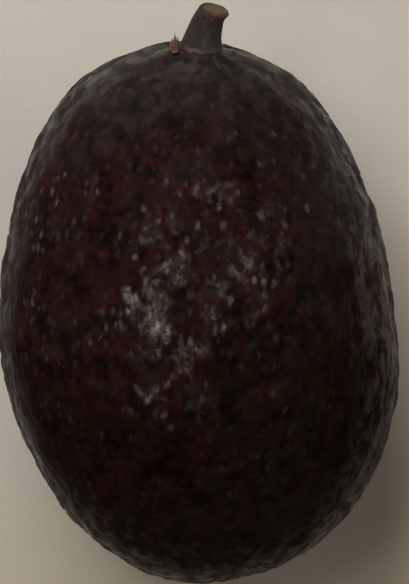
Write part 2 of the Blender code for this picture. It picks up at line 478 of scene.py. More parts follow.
@dataclass(frozen=True)
class SkinFinish:
    """Ripe skin: near-black maroon mottled with olive and purple, wax that shines in specks, and
    painted highlights, sheen and shade.
    """

    deep: Colour = (0.0040, 0.0018, 0.0014)
    maroon: Colour = (0.0172, 0.0045, 0.0034)
    olive: Colour = (0.0088, 0.0066, 0.0027)
    purple: Colour = (0.0138, 0.0052, 0.0066)
    slate: Colour = (0.0262, 0.0190, 0.0206)
    moss: Colour = (0.0142, 0.0130, 0.0092)
    grey_bloom_and_sheen: Colour = (0.1020, 0.0816, 0.0756)
    green_bloom_and_sheen: Colour = (0.0820, 0.0730, 0.0580)
    painted_sheen: Colour = (0.0330, 0.0235, 0.0205)
    highlight_cream: Colour = (0.0500, 0.0420, 0.0335)
    pale_speck_and_glint: Colour = (0.0560, 0.0350, 0.0310)
    scar: Colour = (0.0600, 0.0430, 0.0280)

    def material(self) -> Material:
        """The finish as a material, which reads eleven values from the mesh.

        Returns:
            The material.
        """
        g = Graph("ripe_avocado_skin")
        at = g.places()
        height, tint, top, wax = g.attributes("height", "tint", "top", "wax")
        end, tail, scar, sunny = g.attributes("shoulder", "tail", "scar", "sunny")
        flank, dusty, dark_side = g.attributes("flank", "dusty", "dark_side")
        wavy = g.shifted(at, 5 * MM, 2 * MM)
        broad = g.noise(wavy, 4.6 * MM, 3.0, 0.6)
        fine = g.noise(at, 1.7 * MM, 3.0, 0.6)
        greens = g.noise(g.stretched(wavy, (1.1, 0.9, 1)), 2.4 * MM, 3.0, 0.6)
        violets = g.noise(g.stretched(at, (0.9, 1, 1.1)), 3.0 * MM, 3.0, 0.62)
        grain = g.noise(g.stretched(at, (1, 0.6, 1)), 0.55 * MM, 3.0, 0.6)

        # The ground: maroon, olive and purple, darker and greener on the lower right side as painted
        # shade, and grey towards the stem.
        slow = g.noise(wavy, 9 * MM, 2.0)
        sheen_patches = g.noise(g.stretched(wavy, (1.2, 0.7, 1)), 3.2 * MM, 2.5, 0.55)
        lit = wax.capped()
        colour = g.layered(
            g.mix((0.55 * fine + 0.45 * broad).ease(0.38, 0.60), self.deep, self.maroon),
            (greens.ease(0.50, 0.66) * 0.8, self.olive),
            (violets.ease(0.54, 0.68) * 0.7, self.purple),
            (dark_side * (0.20 + 0.70 * fine), g.mix(greens.ease(0.36, 0.60), self.deep, self.olive)),
            (end * (0.6 + 0.4 * fine), g.mix(greens.ease(0.42, 0.62), self.slate, self.moss)),
            (tail * (0.1 + 0.4 * fine), self.moss),
            # Painted shade: darker in the valleys between the pebbles.
            (height.ease(0.35, 0.0) * 0.4, self.deep),
            (slow.ease(0.50, 0.34) * 0.55 * sunny, self.deep),
            # Painted sheen: a grey veil in patches where the light falls and over the wax spots.
            ((0.12 * sunny.ease(0.3, 1.0) + 0.34 * lit) * sheen_patches.ease(0.46, 0.66), self.painted_sheen),
        )

        # Grey bloom on the flanks, partly a painted reflection at the rims and painted light on the
        # right flank, and each pebble a little lighter or darker.
        patchy = g.noise(g.stretched(wavy, (1, 0.46, 1)), 1.9 * MM, 4.0, 0.66)
        bloom_and_sheen_colour = g.mix(greens.ease(0.44, 0.60), self.grey_bloom_and_sheen, self.green_bloom_and_sheen)
        colour = g.mix(dusty * patchy.ease(0.44, 0.60) * (0.35 + 0.80 * fine), colour, bloom_and_sheen_colour)
        # Each pebble a little lighter or darker, and painted light: the blossom end is up to 1.9 times
        # brighter, where the lamps leave it dim.
        tone_and_painted_light = (0.72 + 0.56 * tint * (0.6 + 0.8 * grain)) * (1 + 0.9 * tail)
        colour = g.mix(1.0, colour, g.node("CombineXYZ", X=tone_and_painted_light, Y=tone_and_painted_light, Z=tone_and_painted_light), "MULTIPLY")

        # Pale specks, ragged and crowded in places: lenticels, and painted glints on the side where the
        # light falls; and soft cream spots where the wax is thick, which are painted highlights.
        ragged = g.shifted(g.shifted(at, 1.6 * MM, 0.35 * MM), 0.6 * MM, 0.11 * MM)
        ragged = g.stretched(ragged, (1, 0.66, 1))
        flecks = g.node("TexVoronoi", Vector=ragged, Scale=1 / (1.5 * MM), Randomness=0.95)
        crowd = g.noise(at, 6 * MM, 2.0).ease(0.44, 0.60)
        blobs = g.noise(ragged, 1.35 * MM, 3.0, 0.6).ease(0.47, 0.68)
        dots = (flecks + 0.9 * (fine - 0.5)).ease(0.46, 0.06)
        dots *= flecks.output("Color").ease(0.36, 0.70)
        speck = dots * (0.12 + 0.88 * crowd) * sunny
        # Painted highlight: where the wax is thick the skin turns cream.
        solid_highlight = wax.ease(0.7, 1.4)
        # Pale specks: lenticels all over, and painted glints, stronger where the light falls (sunny)
        # and on the wax spots.
        specks_and_painted_glints = dots * (0.20 + 0.32 * crowd) * (0.3 + 0.7 * sunny) + lit * blobs * 0.35
        painted_highlight = solid_highlight * (0.20 + 0.70 * blobs)
        colour = g.layered(colour, (specks_and_painted_glints, self.pale_speck_and_glint), (painted_highlight, self.highlight_cream), (scar, self.scar))

        # The gloss is a coat, strongest on the wax and in streaks on the flanks.
        streak = g.noise(g.stretched(wavy, (1, 0.34, 1)), 2.8 * MM, 2.0, 0.5).ease(0.44, 0.64)
        gloss = 0.004 + sunny * (0.01 + 0.18 * crowd) * (0.8 * blobs + 0.1 * top)
        gloss = gloss + lit * (0.10 + 0.76 * blobs) + solid_highlight * 0.12
        gloss = gloss + speck * 0.60 + flank * (1 - 0.4 * dark_side) * (0.16 + 0.46 * streak)

        rough = 0.62 + 0.10 * (1 - height) + 0.10 * (grain - 0.5) + 0.06 * tint + 0.2 * scar
        wrinkle = g.noise(g.stretched(at, (1, 0.55, 1)), 0.9 * MM, 4.0, 0.65)
        relief = 0.6 * wrinkle + 0.4 * grain + 0.4 * speck
        shine = gloss.capped() * (1 - 0.8 * scar)
        g.finish(
            colour, rough, relief, 0.08 * MM,
            Coat_Weight=shine, Coat_Roughness=0.27, Coat_IOR=1.7, Specular_IOR_Level=0.02,
        )
        return g.material


@dataclass(frozen=True)
class BarkFinish:
    """Clipped stem: purplish brown bark, grey-green and painted lighter on one side, with a torn lip
    and a tan cut.
    """

    bark: Colour = (0.0320, 0.0215, 0.0195)
    dark: Colour = (0.0190, 0.0135, 0.0120)
    green: Colour = (0.0330, 0.0300, 0.0255)
    rim: Colour = (0.0900, 0.0400, 0.0290)
    wood: Colour = (0.1080, 0.0730, 0.0490)
    heart: Colour = (0.0720, 0.0480, 0.0340)
    lip: Colour = (0.0880, 0.0500, 0.0440)

    def material(self) -> Material:
        """The finish as a material, which reads five values from the mesh.

        Returns:
            The material.
        """
        g = Graph("stem_bark_and_wood")
        at = g.places()
        cut, rim, lip, green_side_and_painted_light, ridge = g.attributes("cut", "rim", "lip", "green_side_and_painted_light", "ridge")
        fine = g.noise(g.stretched(at, (1, 0.6, 1)), 0.8 * MM, 4.0, 0.62)
        broad = g.noise(at, 1.6 * MM, 3.0, 0.6)
        rays = g.noise(at, 0.5 * MM, 4.0, 0.65)
        worn = (0.05 * ridge + 0.55 * fine + 0.45 * broad).ease(0.38, 0.74)
        colour = g.layered(
            g.mix(worn, self.dark, self.bark),
            ((green_side_and_painted_light * 0.85 + 0.4 * (broad - 0.5)).ease(0.25, 0.65), self.green),
            (rim * (0.45 + 0.7 * broad), self.rim),
            (lip * (0.4 + 0.8 * fine), self.lip),
            (cut, g.mix((0.6 * rays + 0.4 * broad).ease(0.34, 0.62), self.heart, self.wood)),
        )
        relief = fine * 0.6 + g.noise(at, 0.3 * MM, 3.0) * 0.4
        g.finish(colour, 0.62 + 0.2 * fine, relief, 0.12 * MM, Specular_IOR_Level=0.3)
        return g.material


@dataclass(frozen=True)
class DryScaleFinish:
    """Papery dry scale: reddish brown with long fibres, paler at its tips."""

    warm_shade_tint: Colour = (0.115, 0.048, 0.036)
    pale: Colour = (0.230, 0.140, 0.100)
    green: Colour = (0.056, 0.046, 0.020)

    def material(self) -> Material:
        """The finish as a material, which reads two values from the mesh.

        Returns:
            The material.
        """
        g = Graph("dry_papery_scale")
        at = g.places()
        tip, bud = g.attributes("tip", "bud")
        fibre = g.noise(g.stretched(at, (1, 0.25, 0.5)), 0.22 * MM, 3.0, 0.6)
        colour = g.mix((tip * 0.7 + fibre * 0.6).ease(0.35, 0.95), self.warm_shade_tint, self.pale)
        colour = g.mix(bud * (0.4 + 0.6 * fibre), colour, self.green)
        g.finish(colour, 0.72 + 0.15 * fibre, fibre, 0.05 * MM, Specular_IOR_Level=0.3)
        return g.material


@dataclass(frozen=True)
class TableFinish:
    """Plain pale warm-grey table with the faintest mottle, browner towards one corner as a painted warm
    shade.
    """

    pale: Colour = (0.552, 0.518, 0.462)
    dim: Colour = (0.530, 0.496, 0.441)
    warm_shade_tint: Colour = (0.584, 0.506, 0.385)

    def material(self) -> Material:
        """The finish as a material.

        Returns:
            The material.
        """
        g = Graph("pale_table")
        at = g.places()
        mottle = g.noise(at, 12 * MM, 3.0)
        grain = g.noise(at, 0.9 * MM, 2.0)
        colour = g.mix((0.6 * mottle + 0.4 * grain).ease(0.35, 0.65), self.pale, self.dim)
        # Painted shade colour: browner towards the near right corner, where the fruit's shadow falls.
        parts = g.node("SeparateXYZ", Vector=at)
        towards_shaded_corner = 0.6 * parts.output("X") - parts.output("Y")
        colour = g.mix(towards_shaded_corner.ease(-0.02, 0.07), colour, self.warm_shade_tint)
        g.finish(colour, 0.62, grain, 0.01 * MM, Specular_IOR_Level=0.3)
        return g.material


# -- Fruit ---------------------------------------------------


@dataclass(frozen=True)
class Ground:
    """The smooth skin that the relief and the marks are worked out on, with one row a point."""

    directions: Array
    plain: Array
    waver: Array

    @property
    def right(self) -> Array:
        """1 on the right-hand side, 0 on the left and underneath."""
        x, _, z = self.directions.T
        return ease(0.25, 0.8, x) * ease(-0.9, -0.2, z)

    @property
    def flank(self) -> Array:
        """1 on the steep flanks and the underside, 0 on top."""
        return ease(0.050, 0.040, self.plain[:, 2])


@dataclass
class Fruit:
    """The fruit: its outline, lumps and pebbles, a collar and folds round the stem, and the scar.

    The bulge is (place along the fruit, reach, most), a low broad swell of the right-hand side. A
    wax spot is (x, y, reach, strength) in millimetres, on the upper side, where the skin is glossier
    and a cream highlight is painted.
    """

    length: float = 0.092
    width: float = 0.0664
    height: float = 0.0641
    axis_turn: float = math.radians(3)
    rest_sink: float = 0.00055
    fullness: float = 0.073
    shoulder: tuple[float, ...] = (-0.091, 0.183, -0.060)
    bend: tuple[float, ...] = (-0.00124, 0.00255, -0.00057, -0.00182)
    swell_height: float = 0.00013
    swell_fade: float = 0.9
    swells: tuple[tuple[Triple, float, float], ...] = (
        ((0.8, 0.5, 0.33), 7.5, 0.4),
        ((-0.3, 0.6, 0.74), 9.0, 2.1),
        ((0.5, -0.7, 0.51), 8.2, 4.4),
    )
    bulge: Triple = (-0.0155, 0.0085, 0.00065)
    dimple_depth: float = 0.0007
    dimple_radius: float = 0.0045
    stem_side: float = 0.0033
    stem_up: float = 0.0065
    stem_length: float = 0.00725
    pit_depth: float = 0.0007
    collar_radius: float = 0.0045
    collar_spread: float = 0.0011
    collar_rise: float = 0.00022
    smooth_end: Pair = (0.80, 0.97)
    smooth_keep: float = 0.35

    steps: int = 128
    lumps: int = 620
    lump_jitter: float = 0.24
    lump_seed: int = 7
    lump_rise: float = 0.00048
    lump_sizes: Pair = (0.6, 1.3)
    lump_share: float = 0.62
    lump_spread: float = 0.0019
    lump_sink: float = 0.27
    lump_waver: float = 0.0006
    lump_long: float = 0.8
    pebbles: int = 3600
    pebble_seed: int = 11
    pebble_jitter: float = 0.30
    pebble_rise: float = 0.00016
    pebble_sizes: Pair = (0.35, 1.25)
    pebble_radius: float = 0.00115
    top_radius: float = 0.00060
    pebble_edge: float = 0.00050
    pebble_long: float = 0.72
    pebble_waver: float = 0.00022
    facet_tilt: float = 0.03
    facet_rise: float = 0.00020
    facet_waver: float = 0.0004
    flank_wave: float = 0.00008
    fold_height: float = 0.00034
    fold_start: Pair = (0.0040, 0.0058)
    fold_end: Pair = (0.022, 0.007)
    smooth_round: Pair = (0.0039, 0.0061)
    scar_edge: Pair = (0.0021, 0.0012)
    scar_waver: float = 0.00025
    scar_rise: float = 0.00025
    wax_highlight_waver: float = 0.0007
    wax_highlight_spots: tuple[tuple[float, float, float, float], ...] = (
        (-9.4, 5.4, 3.1, 1.75), (-5.8, 4.4, 3.3, 1.50), (-7.2, 1.6, 2.6, 0.70),
        (-6.4, 15.8, 3.0, 0.70), (-3.6, 18.6, 2.6, 0.60), (-3.4, 10.6, 2.8, 0.80),
        (-1.2, 8.6, 2.2, 0.60), (1.8, 22.6, 3.0, 0.62), (6.4, 22.4, 2.4, 0.55),
        (12.4, 19.0, 2.6, 0.55), (14.2, 14.6, 2.8, 0.60), (13.6, 10.4, 2.6, 0.62),
        (7.7, 12.0, 3.8, 0.60), (3.4, 7.0, 3.0, 0.70), (2.2, 3.2, 2.4, 0.50),
        (-5.6, -1.4, 3.2, 0.78), (-1.6, -3.0, 3.4, 0.82), (-7.0, -9.2, 2.8, 0.45),
        (0.4, -10.2, 2.8, 0.55), (12.4, -5.2, 2.4, 0.60),
    )

    @property
    def half(self) -> Array:
        """Half the width, length and height."""
        return np.array([self.width, self.length, self.height]) / 2

    @property
    def pole_girth(self) -> float:
        """Girth against a ball's at the stem pole."""
        return 1 + self.fullness + sum(self.shoulder)

    def girth(self, t: Array, under: Array) -> Array:
        """Girth against a ball's: 1 plus a share of t squared plus odd powers of t, which fade
        with the square of how far under the axis the place is."""
        uneven = sum(share * t ** (2 * power + 1) for power, share in enumerate(self.shoulder))
        return 1 + self.fullness * t**2 + uneven * (1 - under**2)

    def skin(self, directions: Array, rise: Array | float = 0.0) -> Array:
        """Places on the skin for unit directions with the stem pole at +Y.

        A direction times the half sizes and the girth, set off sideways by the bend, raised along
        the ellipsoid's normal by rise and the swells less the dimple, then turned and set down.

        Args:
            directions: unit directions, one a row.
            rise: how far each place is raised, in metres.

        Returns:
            Places in metres, one a row.
        """
        x, t, z = directions.T
        round_axis = np.maximum(np.hypot(x, z), 1e-9)
        wide = self.girth(t, np.clip(-z / round_axis, 0, 1))
        sideways = sum(share * t ** (power + 1) for power, share in enumerate(self.bend)) * round_axis
        half = self.half
        plain = np.stack([half[0] * x * wide + sideways, half[1] * t, half[2] * z * wide], axis=1)
        outward = unit(directions / half)
        swell = sum(
            self.swell_height * np.sin(count * directions @ unit(np.array(travel)) + start)
            for travel, count, start in self.swells
        )
        off_axis = np.hypot(plain[:, 0], plain[:, 2])
        dimple = np.where(t < 0, self.dimple_depth * np.exp(-((off_axis / self.dimple_radius) ** 2)), 0)
        at, reach, most = self.bulge
        bulge = most * ease(0.3, 0.9, x) * np.exp(-(((half[1] * t - at) / reach) ** 2))
        rise = rise + bulge - dimple + swell * ease(1, self.swell_fade, t)
        raised = plain + outward * rise[:, None]
        c, s = math.cos(self.axis_turn), math.sin(self.axis_turn)
        x, y, z = raised.T
        return np.stack([c * x - s * y, s * x + c * y, z + self.height / 2 - self.rest_sink], axis=1)

    def frame_at(self, side: float, up: float) -> tuple[Array, Array]:
        """The skin near the stem pole.

        Args:
            side: how far to the side of the pole, in metres.
            up: how far above it.

        Returns:
            The place on the skin, and the outward direction there.
        """
        x, z = np.array([side, up]) / (self.half[[0, 2]] * self.pole_girth)
        direction = np.array([x, math.sqrt(1 - x * x - z * z), z])
        across, down = beside(direction)
        steps = 1e-3 * np.array([0 * across, across, -down])
        near = self.skin(unit(direction + steps))
        return near[0], unit(np.cross(near[2] - near[0], near[1] - near[0]))

    @staticmethod
    def spiral(count: int, jitter: float, rng: np.random.Generator) -> Array:
        """Directions on a spiral of even spacing round the Y axis, each moved a little at random.

        Args:
            count: how many there are.
            jitter: how far they move, as a share of the spacing.
            rng: gives the moves.

        Returns:
            Unit directions, one a row.
        """
        number = np.arange(count)
        t = 1 - (2 * number + 1) / count
        angle = number * math.pi * (3 - math.sqrt(5))
        flat = np.sqrt(1 - t * t)
        even = np.stack([flat * np.cos(angle), t, flat * np.sin(angle)], axis=1)
        spacing = math.sqrt(4 * math.pi / count)
        return unit(even + rng.uniform(-1, 1, even.shape) * jitter * spacing)

    def lumps_over(self, ground: Ground) -> Array:
        """The broad lumps: mounds over even but jittered places, in a pattern that wavers.

        Args:
            ground: the smooth skin.

        Returns:
            Heights in metres, one a place.
        """
        rng = np.random.default_rng(self.lump_seed)
        centres = self.skin(self.spiral(self.lumps, self.lump_jitter, rng))
        size = rng.uniform(*self.lump_sizes, self.lumps)
        moved = ground.plain + self.lump_waver * wavers(ground.plain, 0.007, 20)
        longer = np.array([1, self.lump_long, 1])
        mound = mounds(moved * longer, centres * longer, size, self.lump_spread)
        return self.lump_rise * (self.lump_share * mound - self.lump_sink)

    def pebbles_over(self, ground: Ground) -> tuple[Array, dict[str, Array]]:
        """The fine pebbles, each over a cell that is long in the fruit's direction.

        A pebble is part dome, 1 - (1 - depth inside the cell / edge)^2, and part rounder top,
        1 - (distance / radius)^2. Each is tilted a little, and they are lower on the flanks.

        Args:
            ground: the smooth skin.

        Returns:
            Heights in metres, and the material's height, top and tint.
        """
        rng = np.random.default_rng(self.pebble_seed)
        centres = self.skin(self.spiral(self.pebbles, self.pebble_jitter, rng))
        size = rng.uniform(*self.pebble_sizes, self.pebbles)
        tint = rng.uniform(0, 1, self.pebbles)
        tilt = rng.normal(size=(self.pebbles, 3)) * self.facet_tilt
        shine = rng.uniform(0, 1, self.pebbles) ** 1.5
        longer = np.array([1, self.pebble_long, 1])
        moved = ground.plain + self.pebble_waver * ground.waver
        which, distance, inside = cells(moved * longer, centres * longer)
        round_top = 1 - np.minimum(distance / self.pebble_radius, 1.2) ** 2
        dome = 1 - (1 - np.clip(inside / self.pebble_edge, 0, 1)) ** 2
        lean = ((ground.plain - centres[which]) * tilt[which]).sum(axis=1) * dome
        rise = self.pebble_rise * size[which] * (0.7 * round_top + 0.3 * dome) + lean
        rise = rise * (1 - 0.45 * ground.right) * (1 - 0.45 * ground.flank)
        top = np.exp(-((distance / self.top_radius) ** 2)) * shine[which]
        return rise, {"height": dome, "top": top, "tint": tint[which]}

    def facets_over(self, ground: Ground, keep: Array) -> Array:
        """Long blunt facets, 1 - |wave| high, and low ripples, both on the flanks.

        Args:
            ground: the smooth skin.
            keep: the share of the relief that each place keeps.

        Returns:
            Heights in metres, one a place.
        """
        plain, share = ground.plain, ground.flank * keep
        wave = waves(plain * [1, 0.3, 1] + self.facet_waver * ground.waver, 0.0030, 81)
        facet = self.facet_rise * (1 - np.abs(wave * share)) * (0.5 + 0.2 * ground.right)
        return facet + self.flank_wave * (waves(plain, 0.0046, 91) + waves(plain, 0.0082, 92)) * share

    def stem_relief(self, ground: Ground) -> tuple[Array, Array]:
        """Folds that run out from the stem and a low collar round it: sines of the angle round it.

        Args:
            ground: the smooth skin.

        Returns:
            Heights in metres, and the share of the other relief that each place keeps.
        """
        foot, outward = self.frame_at(self.stem_side, self.stem_up)
        across, down = beside(outward)
        offset = ground.plain - foot
        along = offset @ outward
        off_axis = np.linalg.norm(offset - np.outer(along, outward), axis=1)
        angle = np.arctan2(-offset @ down, offset @ across)
        here = along > -self.stem_length
        turns = np.sin(5 * angle + 0.7) + 0.7 * np.sin(9 * angle + 2.1) + 0.5 * np.sin(14 * angle + 4)
        reach = ease(*self.fold_end, off_axis) * ease(*self.fold_start, off_axis)
        ring = np.exp(-(((off_axis - self.collar_radius) / self.collar_spread) ** 2))
        collar = ring * (1 + 0.35 * np.sin(7 * angle + 1) + 0.25 * np.sin(12 * angle))
        rise = (self.fold_height * turns * reach + self.collar_rise * collar) * here
        return rise, np.where(here, ease(*self.smooth_round, off_axis), 1)

    def marks(self, ground: Ground) -> dict[str, Array]:
        """Where the skin is waxy, specked, glossy, dusty with bloom, dark, grey or scarred, and where
        highlights, glints, reflection and shade are painted.

        Each mark is a product of smooth steps along X, Y and Z in metres, or along t, the share of
        the way to the stem pole, and waves waver some of the edges.

        Args:
            ground: the smooth skin.

        Returns:
            The material's values by name, one a point.
        """
        x, t, z = ground.directions.T
        px, py, pz = ground.plain.T
        pole = self.skin(np.array([[0, -1.0, 0]]))[0]
        away = np.hypot(px - pole[0], z * self.half[2])
        away += self.scar_waver * waves(ground.plain, 0.0015, 41)
        # sunny: the upper side where the light falls; the painted glints and sheen are strongest there.
        sunny = ease(0.042, 0.053, pz) * ease(0.023, 0.014, px)
        sunny = sunny * ease(-0.025, -0.007, py + 0.35 * px) * ease(0.039, 0.031, py)
        # The wax spots lie where the lamps' highlights fall: glossier skin that also carries a painted
        # highlight.
        wx, wy, _ = (ground.plain + self.wax_highlight_waver * ground.waver).T / MM
        wax = sum(
            strength * ease(reach, 0.2 * reach, np.hypot(wx - spot_x, wy - spot_y))
            for spot_x, spot_y, reach, strength in self.wax_highlight_spots
        )
        # Bloom on the right flank, graded along the fruit against the lamps' fall-off as painted light;
        # round the rims and at the blossom end it stands for a painted reflection of the table.
        side = ease(0.055, 0.045, pz) * ground.right * (0.58 + 0.42 * ease(0.026, 0.006, py))
        side *= 0.85 - 0.20 * ease(0.010, -0.010, py)
        edge = 0.40 * ease(0.047, 0.038, pz) * ease(0.040, 0.022, py)
        heel = 0.80 * ease(0.054, 0.043, pz) * ease(-0.020, -0.035, py)
        # Painted shade: the lower right side, away from the lamps, is darker and greener.
        dark_side = ease(-0.006, 0.022, px - 0.3 * py + 0.004 * waves(ground.plain, 0.014, 61))
        dark_side = dark_side * ease(0.010, -0.012, py) * ease(-0.041, -0.030, py)
        shoulder = ease(0.46, 0.92, t + 0.05 * waves(ground.plain, 0.01, 51))
        side_grey = ease(-0.05, 0.5, t + 0.06 * waves(ground.plain, 0.01, 52))
        side_grey = 0.8 * ease(0.38, 0.70, x) * side_grey
        return {
            "wax": wax * (pz > self.height / 2),
            "sunny": 0.2 + 0.8 * sunny,
            "flank": ground.flank * (0.4 + 0.6 * ease(0.010, 0.026, pz)),
            "dusty": np.maximum.reduce([side, edge, heel]) * ease(0.012, 0.030, pz),
            "dark_side": dark_side,
            "shoulder": np.maximum(shoulder, side_grey),
            "tail": ease(-0.35, -0.9, t),
            "scar": np.where(t < -0.9, ease(*self.scar_edge, away), 0),
        }

    def build(self, finish: Material) -> Object:
        """Makes the fruit: the smooth skin raised by the sum of its reliefs, flat where it rests.

        Args:
            finish: the skin's material.

        Returns:
            The fruit.
        """
        directions, faces = ball(self.steps)
        plain = self.skin(directions)
        ground = Ground(directions, plain, wavers(plain, 0.003, 30))
        keep = 1 - (1 - self.smooth_keep) * ease(*self.smooth_end, directions[:, 1])
        pebble, values = self.pebbles_over(ground)
        near_stem, clear = self.stem_relief(ground)
        values = values | self.marks(ground)
        scar = values["scar"]
        rise = self.lumps_over(ground) + pebble + self.facets_over(ground, keep)
        rise = (rise * keep * clear + near_stem) * (1 - scar) + self.scar_rise * scar
        places = self.skin(directions, rise)
        places[:, 2] = np.maximum(places[:, 2], 0)
        return piece("fruit_skin", places, [faces], finish, values)


# -- Stem stub -----------------------------------------------


@dataclass
class StemStub:
    """The clipped stem: a bent tube from its foot inside the collar to its dished cut face.

    Its middle line bends from the start aim to the end aim, and the cut has an aim of its own:
    degrees to the right of +Y, and degrees upwards.
    """

    length: float = 0.00780
    gap: float = 0.0003
    foot_radius: float = 0.0034
    tip_radius: float = 0.0022
    foot_flare: float = 0.0004
    flare_power: int = 6
    rim_flare: float = 0.0004
    rim_at: float = 0.93
    rim_spread: float = 0.11
    rim_round: float = 0.00045
    ridge_height: float = 0.00002
    ridges: int = 5
    ridge_twist: float = 2
    lip_rise: float = 0.00018
    lip_side: float = math.radians(-108)
    start: Pair = (7.5, 14)
    end: Pair = (28, 26)
    cut: Pair = (14, 23)
    sides: int = 112
    side_rings: int = 64
    face_rings: int = 22
    rim_ripple: float = 0.00006
    wrinkle_height: float = 0.00003
    dish: float = 0.00032
    pith_rise: float = 0.00016
    grain_rise: float = 0.00003

    @staticmethod
    def wrapped(h: Array, angle: Array) -> Array:
        """Places on an upright tube of radius 1, so that waves over them close round the stub."""
        return np.stack([np.cos(angle), np.sin(angle), 1.1 * h], axis=1)

    def radius_at(self, h: Array, angle: Array) -> tuple[Array, dict[str, Array]]:
        """The radius up the side: it tapers, flares at the foot, swells in a knob on one side of
        the rim, carries five faint ridges and finer wrinkles, and has a torn lip at the foot.

        Args:
            h: height up the side, from 0 at the foot to 1 at the rim.
            angle: the angle round the middle line.

        Returns:
            The radius in metres, and the material's lip and ridge.
        """
        wrap = self.wrapped(h, angle)
        wrinkle = waves(wrap * [4, 4, 2], 1.6, 61) + 0.5 * waves(wrap * [8, 8, 4], 1.6, 62)
        ridge = np.cos(self.ridges * angle + self.ridge_twist * h) * ease(0, 0.2, h)
        rim = np.exp(-(((h - self.rim_at) / self.rim_spread) ** 2))
        knob = np.clip(0.5 + 0.62 * np.cos(angle + 0.35), 0, 1) ** 1.5
        ripple = waves(wrap * [2.2, 2.2, 6], 1.5, 63)
        aside = np.abs((angle - self.lip_side + math.pi) % math.tau - math.pi)
        torn = h + 0.016 * waves(wrap * [3, 3, 0], 1.2, 65)
        lip = ease(0.02, 0.045, torn) * ease(0.145, 0.105, torn) * ease(0.62, 0.34, aside)
        radius = self.foot_radius + (self.tip_radius - self.foot_radius) * h
        radius += self.foot_flare * (1 - h) ** self.flare_power
        radius += rim * (self.rim_flare * knob + self.rim_ripple * ripple)
        radius = radius + self.ridge_height * ridge + self.wrinkle_height * wrinkle * ease(0, 0.1, h)
        rounding = self.rim_round * (1 - np.sqrt(1 - 0.8 * ease(0.93, 1.0, h) ** 2))
        radius = radius + self.lip_rise * lip - rounding
        return radius, {"lip": np.maximum(lip, 0.2 * ease(0.10, 0.0, h)), "ridge": 0.5 + 0.5 * ridge}

    def sunk_at(self, inward: Array, angle: Array) -> Array:
        """How far the cut face is sunk: a dish inside the bark with a raised pith and some grain.

        Args:
            inward: 0 at the rim and on the side, 1 at the cut's middle.
            angle: the angle round the middle line.

        Returns:
            Depths in metres.
        """
        pith = np.exp(-(((1 - inward) / 0.16) ** 2))
        grain = waves(np.stack([np.cos(angle), np.sin(angle), inward], axis=1) * [3, 3, 6], 1.3, 64)
        sunk = self.dish * ease(0.0, 0.22, inward) - self.pith_rise * pith
        sunk -= self.grain_rise * grain * np.minimum(inward * 6, 1)
        return np.where(inward > 0, sunk, 0)

    def build(self, fruit: Fruit, finish: Material) -> Object:
        """Makes the stub.

        A place is (angle, s). For s up to 1 it is on the side at height s, and the middle line
        bends from the start direction to the end direction. Past 1 it runs in over the cut face,
        whose radius falls to 0 as s goes to 2. The last two places close the two ends.

        Args:
            fruit: the fruit that the stub stands on.
            finish: the bark's material.

        Returns:
            The stub.
        """
        side = np.linspace(0, 1, self.side_rings) ** 0.9
        face = np.linspace(0, 1, self.face_rings + 2)[1:-1]
        rings = np.concatenate([side, 1 + face])
        s, angle = grid_of(rings, np.linspace(0, math.tau, self.sides, endpoint=False))
        s, angle = np.append(s, [0.0, 2.0]), np.append(angle, [0.0, 0.0])
        h, inward = np.minimum(s, 1), np.maximum(s - 1, 0)

        foot, outward = fruit.frame_at(fruit.stem_side, fruit.stem_up)
        foot = foot + outward * (self.gap - fruit.pit_depth)
        start, end, cut = aimed(*self.start), aimed(*self.end), aimed(*self.cut)
        middle = foot + self.length * (np.outer(h, start) + np.outer(h**2 / 2, end - start))
        facing = unit(outward + np.outer(h, cut - outward))
        right, down = beside(facing)

        radius, values = self.radius_at(h, angle)
        radius *= 1 - inward
        radius[-2:] = 0
        places = middle - self.sunk_at(inward, angle)[:, None] * facing
        places += (radius * np.cos(angle))[:, None] * right
        places += (radius * np.sin(angle))[:, None] * down

        # The right-hand side, away from the lamps, is grey-green: partly its own tone, partly painted
        # light that lifts it against the shade there.
        blotch = 0.1 * waves(self.wrapped(h, angle) * [2, 2, 3], 1.5, 66)
        values["green_side_and_painted_light"] = ease(-0.15, 0.3, np.cos(angle) + blotch)
        values["cut"] = ease(0.02, 0.12, inward)
        values["rim"] = np.clip(ease(0.70, 0.90, h) * (0.30 + 0.9 * np.cos(angle + 0.3)), 0, 1)
        return piece("stem_bark", places, tube_faces(len(rings), self.sides), finish, values)


# -- Dry scale -----------------------------------------------


